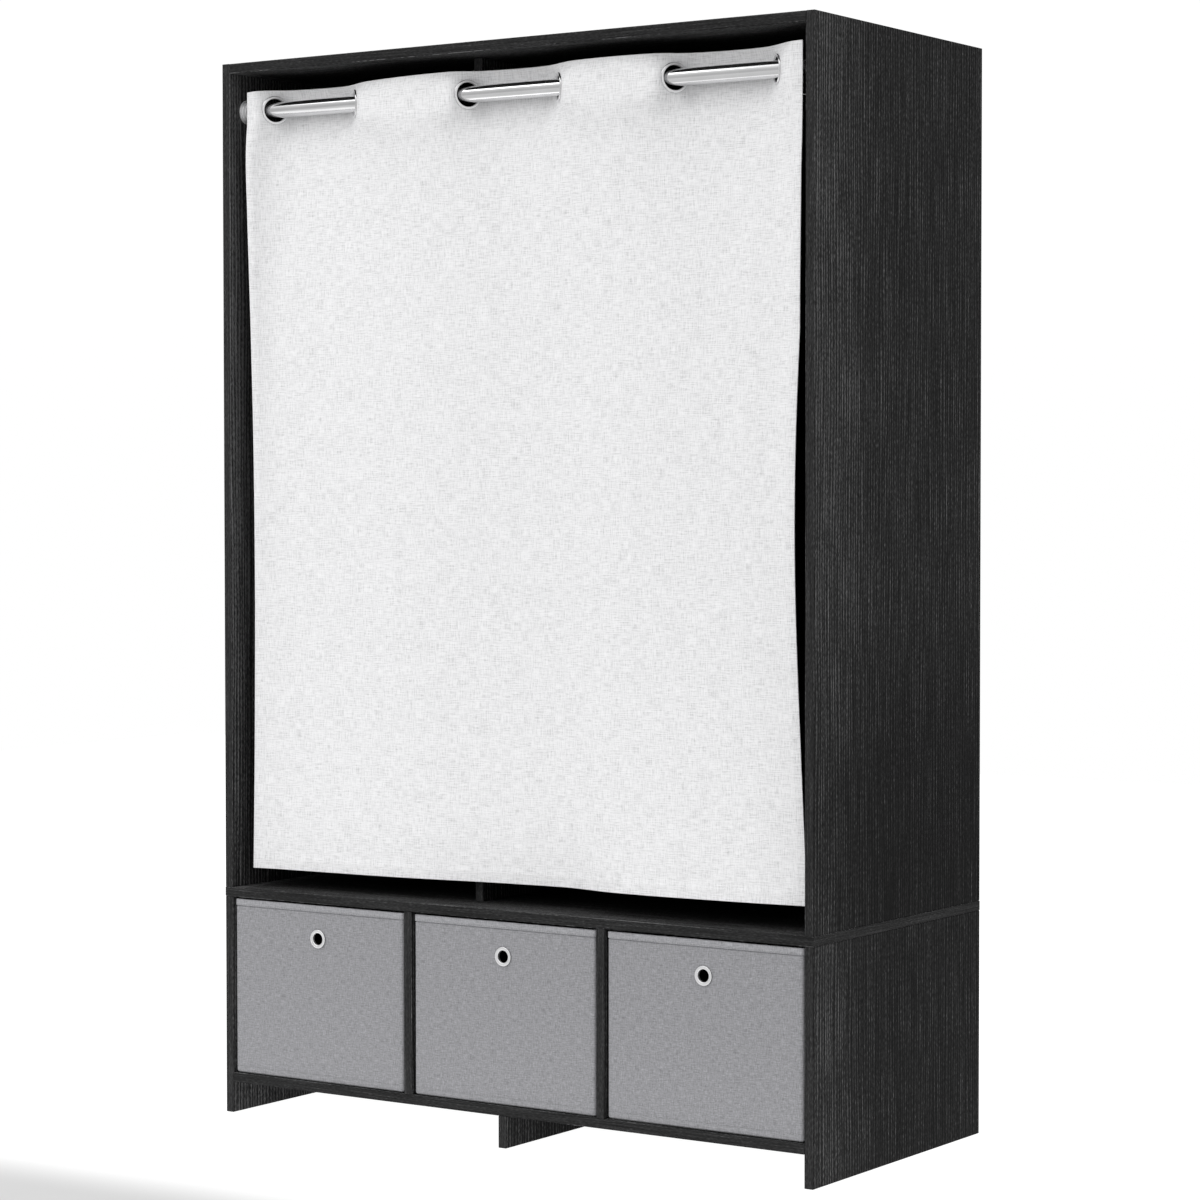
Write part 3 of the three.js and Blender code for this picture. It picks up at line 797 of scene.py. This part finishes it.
class Header:
    # the header seen from above, as a path that can be asked for a point at any length along it
    def __init__(self):
        self.points = []
        self.lengths = []
        self.eyelets = []
        self.go(curtain["endShares"][0] * innerX, -pleat)
        for i, x in enumerate(eyeletX):
            back = 1 if i % 2 == 0 else -1
            angle = curtain["backAngle"] if back > 0 else curtain["frontAngle"]
            run, rise = curtain["flat"] * math.cos(angle), curtain["flat"] * math.sin(angle)
            radius = (pleat - rise) / (1 - math.cos(angle))
            bend = curtain["bendSteps"]
            for side in (-1, 1):
                for k in range(bend + 1):
                    turn = angle * (k if side < 0 else bend - k) / bend
                    px = x + side * (run + radius * (math.sin(angle) - math.sin(turn)))
                    self.go(px, side * back * (rise + radius * (math.cos(turn) - math.cos(angle))))
                if side < 0:
                    self.eyelets.append(self.lengths[-1] + curtain["flat"])
        self.go(curtain["endShares"][1] * innerX, -pleat)
        self.total = self.lengths[-1]
        self.knots = [0, *self.eyelets, self.total]

    def go(self, x, y):
        here = Vector((x, y))
        step = (here - self.points[-1]).length if self.points else 0
        self.lengths.append(self.lengths[-1] + step if self.lengths else 0)
        self.points.append(here)

    def curve(self, values, u):  # a smooth curve through a value at each end and eyelet
        knots = self.knots

        def slope(k):
            a, b = max(k - 1, 0), min(k + 1, len(knots) - 1)
            return (values[b] - values[a]) / (knots[b] - knots[a])
        i = max(k for k in range(len(knots) - 1) if knots[k] <= u or k == 0)
        span = knots[i + 1] - knots[i]
        t = (u - knots[i]) / span
        return ((2 * t ** 3 - 3 * t ** 2 + 1) * values[i]
                + (t ** 3 - 2 * t ** 2 + t) * span * slope(i)
                + (3 * t ** 2 - 2 * t ** 3) * values[i + 1]
                + (t ** 3 - t ** 2) * span * slope(i + 1))

    def roundAt(self, u, drop):  # the same pleats as a round wave, for the cloth below the header
        phases = [-0.5, *range(len(self.eyelets)), len(self.eyelets) - 0.5]
        places = [self.points[0].x, *eyeletX, self.points[-1].x]
        moved = max(u - drop * self.curve(curtain["lean"], u), 0)
        wave = pleat * math.sin(math.pi * self.curve(phases, moved))
        left, right = curtain["endPulls"]
        ends = math.exp(-(u / left) ** 2) + math.exp(-((self.total - u) / right) ** 2)
        return self.curve(places, u), wave + pleat * ends, -pleat * ends

    def at(self, u):
        high = min(bisect.bisect_right(self.lengths, u), len(self.lengths) - 1)
        start, end = self.lengths[high - 1:high + 1]
        return self.points[high - 1].lerp(self.points[high], (u - start) / (end - start))


header = Header()
print("header is", round(header.total, 4), "m long")


def hemWave(share):  # uniform Catmull-Rom through the even steps
    table = curtain["hemWave"]
    place = min(max(share, 0), 1) * (len(table) - 1)
    i = min(int(place), len(table) - 2)
    t = place - i
    a, b, c, d = (table[min(max(i + k, 0), len(table) - 1)] for k in (-1, 0, 1, 2))
    return 0.5 * (2 * b + (c - a) * t + (2 * a - 5 * b + 4 * c - d) * t ** 2
                  + (3 * b - a - 3 * c + d) * t ** 3)


def clothPoint(u, v):
    # u runs along the header, v down from its top edge
    u = min(max(u, 0), header.total)
    top = header.at(u)
    share = u / header.total
    z = clothHigh.z - v
    hemZ = clothLow.z + share * curtain["hemRise"]
    if v <= headerDrop:
        drop = 0.0
    else:
        drop = (v - headerDrop) / (dropTotal - headerDrop)
        z = (clothHigh.z - headerDrop) * (1 - drop) + hemZ * drop
    start = curtain["softStart"]
    eased = (drop - start * (1 - math.exp(-drop / start))) / (1 - start)
    relaxed = 1 - (1 - min(eased, 1)) ** curtain["relax"]
    hemX = (curtain["hemEndShares"][0] * (1 - share) + curtain["hemEndShares"][1] * share) * innerX
    waist = 1 - curtain["waist"] * math.sin(math.pi * drop) * min(drop / curtain["waistFrom"], 1)
    crisp = math.exp(-(drop / curtain["crispDrop"]) ** 1.4)
    left = curtain["pleatLeft"]
    kept = 1 - relaxed
    folded = left * kept + (1 - left) * math.exp(-drop / curtain["pleatDrop"])
    flange = eyelet["ring"]["flange"]
    away = min(math.hypot(u - centre, v - eyeletV) for centre in header.eyelets) - flange
    free = min(max(away / (eyeletV - flange), 0), 1)
    above = max(0, 1 - v / eyeletV) ** 1.5 * free * free * (3 - 2 * free)
    if above > 0:
        crisp = 1 + (curtain["topCrisp"] - 1) * above
        folded = 1 + (curtain["topDepth"] - 1) * above
        kept = 1
        z += header.curve(curtain["topRise"], u) * above
    roundX, wave, ends = header.roundAt(u, drop)
    top = Vector((roundX, wave * folded + ends * kept)).lerp(top, crisp)
    x = (top.x + (hemX - top.x) * relaxed) * waist
    fall = max((drop - curtain["rightWaistFrom"]) / (1 - curtain["rightWaistFrom"]), 0)
    x -= curtain["rightWaist"] * share ** 3 * math.sin(math.pi * fall ** 0.75) ** 1.4
    y = top.y + hemWave(share) * pleat * relaxed
    curled = curtain["curl"] * math.exp(-(u / curtain["curlWidth"]) ** 2)
    y -= curled * (1 - math.exp(-drop / curtain["curlFrom"])) * (1 - drop * 0.5)
    wander = sum(part * noise.noise(Vector((u * across, v * down, seed)))
                 for part, across, down, seed in curtain["ripples"])
    y += curtain["ripple"] * wander * min(relaxed * 3, 1)
    return Vector((x, rodCentre.y + y, z))


def clothNormal(u, v):  # to the front
    step = 0.0015
    along = clothPoint(u + step, v) - clothPoint(u - step, v)
    down = clothPoint(u, v + step) - clothPoint(u, v - step)
    return down.cross(along).normalized()


def evenly(start, end, cell):
    count = max(1, round((end - start) / cell))
    return [start + (end - start) * k / count for k in range(count)]


def clothGrid():
    # columns and rows of the cloth, and where each eyelet's patch of cells starts
    side, patch, cell = curtain["sideHem"], curtain["patch"], curtain["cell"]
    fold, edgeCell = curtain["fold"], curtain["edgeCell"]
    patchCell = 2 * patch / curtain["patchCells"]
    columns = evenly(0, side, edgeCell) + [side]
    starts = []
    at = side + fold
    for centre in header.eyelets:
        columns += evenly(at, centre - patch, cell)
        starts.append(len(columns))
        columns += evenly(centre - patch, centre + patch, patchCell)
        at = centre + patch
    last = header.total - side
    columns += evenly(at, last - fold, cell) + [last - fold]
    columns += evenly(last, header.total, edgeCell) + [header.total]
    rows = evenly(0, eyeletV - patch, edgeCell)
    rowStart = len(rows)
    rows += evenly(eyeletV - patch, eyeletV + patch, patchCell)
    hemTop = dropTotal - curtain["hem"]
    rows += evenly(eyeletV + patch, hemTop - fold, cell) + [hemTop - fold]
    rows += evenly(hemTop, dropTotal, curtain["hemCell"]) + [dropTotal]
    return columns, rows, starts, rowStart


def clothSheet():
    columns, rows, starts, rowStart = clothGrid()
    cells = curtain["patchCells"]
    flat = []  # (u, v) of each point
    index = {}

    def corner(r, c):
        if (r, c) not in index:
            index[r, c] = len(flat)
            flat.append((columns[c], rows[r]))
        return index[r, c]

    inPatch = {(r, c) for start in starts for r in range(rowStart, rowStart + cells)
               for c in range(start, start + cells)}
    faces = []
    for r in range(len(rows) - 1):
        faces += [(corner(r, c), corner(r + 1, c), corner(r + 1, c + 1), corner(r, c + 1))
                  for c in range(len(columns) - 1) if (r, c) not in inPatch]
    for start, centre in zip(starts, header.eyelets):
        edge = [(0, k) for k in range(cells)] + [(k, cells) for k in range(cells)]
        edge += [(cells, cells - k) for k in range(cells)] + [(cells - k, 0) for k in range(cells)]
        outer = loop = [corner(rowStart + r, start + c) for r, c in edge]
        for share in (0.55, 0.2, 0.0):  # from the patch's edge in to the hole
            ring = [len(flat) + k for k in range(len(outer))]
            for u, v in [flat[k] for k in outer]:
                away = Vector((u - centre, v - eyeletV))
                spot = (away.normalized() * curtain["hole"]).lerp(away, share)
                flat.append((centre + spot.x, eyeletV + spot.y))
            for k in range(len(outer)):
                j = (k + 1) % len(outer)
                faces.append((loop[k], ring[k], ring[j], loop[j]))
            loop = ring
    return flat, faces


def doubled(u, v):  # 1 where the cloth lies double
    inSide = min(u, header.total - u) <= curtain["sideHem"] + 1e-5
    inHem = v >= dropTotal - curtain["hem"] - 1e-5
    band = curtain["headerBand"]
    return 1.0 if inSide or inHem else min(max((band * 1.6 - v) / (band * 0.6), 0), 1)


def addCurtain():
    flat, faces = clothSheet()
    mesh = bpy.data.meshes.new("curtain_linen")
    mesh.from_pydata([clothPoint(u, v) for u, v in flat], [], faces)
    layer = mesh.uv_layers.new(name="cloth")
    for loop in mesh.loops:
        layer.data[loop.index].uv = flat[loop.vertex_index]
    cloth = newPiece("curtain_linen", mesh, "linen")
    group = cloth.vertex_groups.new(name="doubled")
    for i, (u, v) in enumerate(flat):
        group.add([i], doubled(u, v), "REPLACE")
    thicken = cloth.modifiers.new("thicken", "SOLIDIFY")
    thicken.thickness = curtain["thickness"]
    thicken.offset = 0
    thicken.vertex_group = "doubled"
    thicken.thickness_vertex_group = curtain["single"]
    applied(cloth, 50)
    cloth.vertex_groups.clear()
    return cloth


def hemStitches():
    sideInset, hemInset = curtain["stitchInset"]
    inset = curtain["sideHem"] - sideInset
    hemV = dropTotal - curtain["hem"] + hemInset
    run = header.total - 2 * inset
    shares = [k / 120 for k in range(121)]
    lines = [[(inset, hemV * share) for share in shares],
             [(inset + run * share, hemV) for share in shares],
             [(header.total - inset, hemV * (1 - share)) for share in shares]]
    places = []
    for line in lines:
        for side in (1, -1):
            path = []
            for u, v in line:
                v = max(v, 0.002)
                up = clothNormal(u, v) * side
                path.append((clothPoint(u, v) + up * (curtain["thickness"] / 2), up))
            places += spaced(path, curtain["stitchPitch"])
    shape = stitchShape(*curtain["stitch"])
    return repeated("curtain_hem_stitches", places, shape, "linenThread", uneven=0.12, seed=7)


eyelet = {
    "ring": {"bore": 0.01797, "flange": 0.02237, "groove": 0.0011, "half": 0.0024, "barrel": 0.0014,
             "seat": 0.0003, "swell": 0.00012, "front": 0.0009, "wall": 0.0008, "brim": 0.0012},
    "rolls": (0.0007, 0.0019),  # an odd eyelet lies flatter to the rod and needs less of a lip
    "face": 0.001,  # how far inside the flange's edge it ends, where the brim is polished
    "sides": 72,
}


def domedRing(bore, flange, groove, half, barrel, seat, roll, swell, brim, front=0.0, wall=0.0002):
    # groove is half of the slot that clamps the cloth, and seat half of the bore's straight part.
    # From there the inner lip rolls up to the crown, and the flange falls over its brim to a rim.
    # The front stands higher by its own amount
    steps = 6

    def side(sign, half):
        face = []
        for k in range(steps + 1):
            share = k / steps
            out = swell * math.sin(math.pi * share)
            face.append((bore + roll * share - out, sign * (seat + (half - seat) * share + out)))
        top = flange - brim
        edge = groove + wall
        for k in range(1, steps + 1):
            turn = math.pi / 2 * k / steps
            rise = edge + (half - edge) * math.cos(turn)
            face.append((top + (flange - top) * math.sin(turn), sign * rise))
        return face + [(flange, sign * groove), (bore + barrel, sign * groove)]
    return side(1, half) + side(-1, half + front)[::-1]


def addEyelet(index, node):
    centre, _ = middle(node)
    turn = curtain["backAngle"] if index % 2 == 0 else -curtain["frontAngle"]
    axis = (-math.sin(turn), math.cos(turn), 0)
    shape = eyelet["ring"]
    outline = domedRing(roll=eyelet["rolls"][index % 2], **shape)
    ring = turned(node + "_ring", outline, centre, axis, eyelet["sides"], "chrome", closed=True)
    ring.data.materials.append(materials["satin"])
    ring.data.materials.append(materials["chromeShade"])
    bore = 1 + index % 2  # painted shade: the wall of an even eyelet's bore turns away from the light and gets the dark chrome
    for face in ring.data.polygons:
        out = (face.center - centre).cross(Vector(axis)).length
        if out < shape["bore"] + 0.0002:
            face.material_index = bore
        elif out < shape["flange"] - eyelet["face"]:
            face.material_index = 1
    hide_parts(node)
    return ring


draw = next(joint for joint in frame["joints"] if joint["name"] == drawJoint)
gatherAt = draw["deforming_nodes"][0]["fixed_end_x_m"]
gathered = 1 - draw["range_m"][1] / (gatherAt - eyeletX[0])

linenSheet = addCurtain()
stitches = hemStitches()
eyeletRings = [addEyelet(i, name) for i, name in enumerate(eyeletNodes)]
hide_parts("curtain_cloth")
for piece in [linenSheet, stitches, *eyeletRings]:
    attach(piece, carcass)
    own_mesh(piece)
print("curtain", len(linenSheet.data.polygons), "faces, gathers to", round(gathered, 3))


# Bins

bins = {
    "wall": 0.0032,
    "corner": 0.005,
    "hem": 0.0102,
    "hemProud": 0.0009,
    "hemGroove": (0.0013, 0.0011),  # the stitched line below the hem, its height and depth
    "seamHeight": 0.0096,  # where the walls are sewn to the floor panel
    "seamDeep": 0.00012,
    "paleFoot": (0.0028, 0.006),  # the lowest edge, from and to
    "litCornerHighlight": 0.7,  # of the corner, on the front's left, which takes a painted highlight
    "bow": 0.0009,  # how far a wall bellies in
    "cornerSteps": 6,
    "wallSteps": 26,
    "rows": 22,
    "rim": 0.0016,  # how high the rim is rounded
    "wrinkle": (11, 13, 0.7, 0.6),  # counts across and up, the least bow and what they add
    # (height, inset) of the rounded lower edge, from the middle of the floor
    "edge": ((0.0, 0.12), (0.0, 0.03), (0.0, 0.0055), (0.0007, 0.0036), (0.0017, 0.0018),
             (0.0028, 0.0007), (0.0044, 0.0)),
    "ring": {"bore": 0.0093, "flange": 0.0145, "groove": 0.0019, "half": 0.0029, "barrel": 0.0012,
             "seat": 0.0017, "roll": 0.0012, "swell": 0.0002, "brim": 0.0012},
    "ringPaintedShade": 0.0002,  # the width of the ring's outermost edge that gets the dark chrome, a painted shade line
    "stitchPitch": 0.0046,
    "stitch": (0.0032, 0.0003),
    "stitchRise": (0.0018, 0.0022),  # above the hem's lower edge and the floor's seam
}


def roundedLoop(halfX, halfY, corner):
    # (point, outward, how far along its side) round a rectangle with round corners
    steps, turnSteps = bins["wallSteps"], bins["cornerSteps"]
    loop = []
    for quarter in range(4):
        face = quarter * math.pi / 2 - math.pi / 2
        out = Vector((math.cos(face), math.sin(face)))
        along = Vector((-out.y, out.x))
        reach, run = (halfY, halfX) if quarter % 2 == 0 else (halfX, halfY)
        run -= corner
        for k in range(steps + 1):
            t = k / steps
            loop.append((out * reach + along * run * (2 * t - 1), out, t))
        pivot = out * (reach - corner) + along * run
        for k in range(1, turnSteps):
            turn = face + math.pi / 2 * k / turnSteps
            away = Vector((math.cos(turn), math.sin(turn)))
            loop.append((pivot + away * corner, away, 0.0))
    return loop


def loopFaces(rows, count):  # between closed loops of count points, and over both ends
    faces = []
    for r in range(0, (rows - 1) * count, count):
        faces += [(r + k, r + (k + 1) % count, r + count + (k + 1) % count, r + count + k)
                  for k in range(count)]
    last = (rows - 1) * count
    return faces + [tuple(reversed(range(count))), tuple(range(last, last + count))]


def footprint(low, high):
    centre = Vector(((low.x + high.x) / 2, (low.y + high.y) / 2))
    return centre, (high.x - low.x) / 2, (high.y - low.y) / 2


def binProfile(height):
    # (height, inset) from the middle of the floor outside, over the rim, to the floor inside
    wall, hem, proud = bins["wall"], bins["hem"], bins["hemProud"]
    seam, deep = bins["seamHeight"], bins["seamDeep"]
    grooveHigh, grooveDeep = bins["hemGroove"]
    profile = list(bins["edge"])
    profile += [(seam - 0.0012, 0.0), (seam - 0.0004, deep), (seam + 0.0004, deep),
                (seam + 0.0012, 0.0)]
    rows = bins["rows"]
    low, high = seam + 0.0012, height - hem - grooveHigh - 0.0006
    profile += [(low + (high - low) * k / rows, 0.0) for k in range(1, rows + 1)]
    profile += [(height - hem - grooveHigh, grooveDeep * 0.8), (height - hem - 0.0003, grooveDeep),
                (height - hem, -proud * 0.4), (height - hem + 0.0005, -proud),
                (height - hem / 2, -proud)]
    mid, half = (wall - proud) / 2, (wall + proud) / 2
    for k in range(9):
        turn = math.pi * k / 8
        rise = height + bins["rim"] * (math.sin(turn) - 1)
        profile.append((rise, mid - half * math.cos(turn)))
    profile += [(height - hem, wall), (height - hem - 0.0008, wall + 0.0002)]
    low = wall + 0.001
    high = height - hem - 0.0012
    profile += [(high + (low - high) * k / rows, wall) for k in range(0, rows + 1)]
    profile += [(wall, wall + 0.0012), (wall, 0.03), (wall, 0.12)]
    return profile


def binShell(name, low, high, seed):
    height = high.z - low.z
    proud = bins["hemProud"]
    centre, halfX, halfY = footprint(low, high)
    halfX, halfY = halfX - proud, halfY - proud
    profile = binProfile(height)
    across, up, least, more = bins["wrinkle"]
    points = []
    for rise, inset in profile:
        corner = max(bins["corner"] - inset, 0.0012)
        outside = 0 < inset + proud + 1e-6 < 0.02
        level = min(max(rise / height, 0), 1)
        for spot, out, t in roundedLoop(halfX - inset, halfY - inset, corner):
            belly = math.sin(math.pi * t) ** 0.8 * math.sin(math.pi * level) if outside else 0
            wrinkle = noise.noise(Vector((spot.x * across + seed, spot.y * across, rise * up)))
            shift = -bins["bow"] * belly * (least + more * wrinkle)
            place = centre + spot + out * shift
            points.append((place.x, place.y, low.z + rise))
    faces = loopFaces(len(profile), len(points) // len(profile))
    shell = newPiece(name, meshOf(name, points, faces, sharp=45), "weave")
    shell.data.materials.append(materials["hemWeaveAndHighlight"])
    for face in shell.data.polygons:
        rise = face.center.z - low.z
        foot = bins["paleFoot"][0] < rise < bins["paleFoot"][1]
        # painted highlight down the front's left corner
        left = face.center.x < low.x + bins["corner"] * bins["litCornerHighlight"]
        corner = left and face.center.y < low.y + bins["corner"]
        face.material_index = int(rise > height - bins["hem"] or foot or corner)
    return shell


def cutHole(piece, centre, radius, depth):
    outline = [(0, -depth), (radius, -depth), (radius, depth), (0, depth)]
    cutter = turned("cutter", outline, centre, (0, 1, 0), 48)
    modifier = piece.modifiers.new("hole", "BOOLEAN")
    modifier.object = cutter
    modifier.solver = "EXACT"
    applied(piece, 45)
    bpy.data.objects.remove(cutter)


def binStitches(name, low, high):
    proud = bins["hemProud"]
    centre, halfX, halfY = footprint(low, high)
    places = []
    onHem, onSeam = bins["stitchRise"]
    levels = [(high.z - bins["hem"] + onHem, 0.0), (low.z + bins["seamHeight"] + onSeam, proud)]
    for z, inset in levels:
        loop = roundedLoop(halfX - inset, halfY - inset, bins["corner"] + proud - inset)
        path = [(Vector((centre.x + spot.x, centre.y + spot.y, z)), Vector((out.x, out.y, 0)))
                for spot, out, _ in loop]
        places += spaced(path + path[:1], bins["stitchPitch"])
    shape = stitchShape(*bins["stitch"])
    return repeated(name, places, shape, "greyThread", uneven=0.1, seed=2)


def baseBoard(name, low, high):
    height = high.z - low.z
    centre, halfX, halfY = footprint(low, high)
    rim, corner = 0.0006, 0.0015
    points = []
    rows = [(0.0, rim), (rim, 0.0), (height - rim, 0.0), (height, rim)]
    for rise, inset in rows:
        loop = roundedLoop(halfX - inset, halfY - inset, corner + rim - inset)
        points += [(centre.x + spot.x, centre.y + spot.y, low.z + rise) for spot, _, _ in loop]
    faces = loopFaces(len(rows), len(points) // len(rows))
    return newPiece(name, meshOf(name, points, faces, sharp=30), "fibreboard")


def addBin(name, seed):
    body = f"bin_{name}"
    low, high = boxOf(f"{body}_shell")
    shell = binShell(f"{body}_weave", low, high, seed)
    ringCentre, _ = middle(f"{body}_pull_ring")
    ring = bins["ring"]
    cutHole(shell, ringCentre, ring["bore"] + ring["barrel"] + 0.0002, 0.02)
    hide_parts(f"{body}_shell")
    outline = domedRing(**ring)
    pull = turned(f"{body}_ring", outline, ringCentre, (0, 1, 0), 64, "nickel", closed=True)
    pull.data.materials.append(materials["chromeShade"])
    # painted shade: the ring's outermost edge gets the dark chrome
    for face in pull.data.polygons:
        spoke = face.center - ringCentre
        face.material_index = int(math.hypot(spoke.x, spoke.z) > ring["flange"] - bins["ringPaintedShade"])
    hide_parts(f"{body}_pull_ring")
    base = baseBoard(f"{body}_base", *boxOf(f"{body}_base_board"))
    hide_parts(f"{body}_base_board")
    thread = binStitches(f"{body}_stitches", low, high)
    for piece in (shell, pull, base, thread):
        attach(piece, body)


for seed, name in enumerate(("left", "middle", "right")):
    addBin(name, 5.3 * seed)
print("bins")
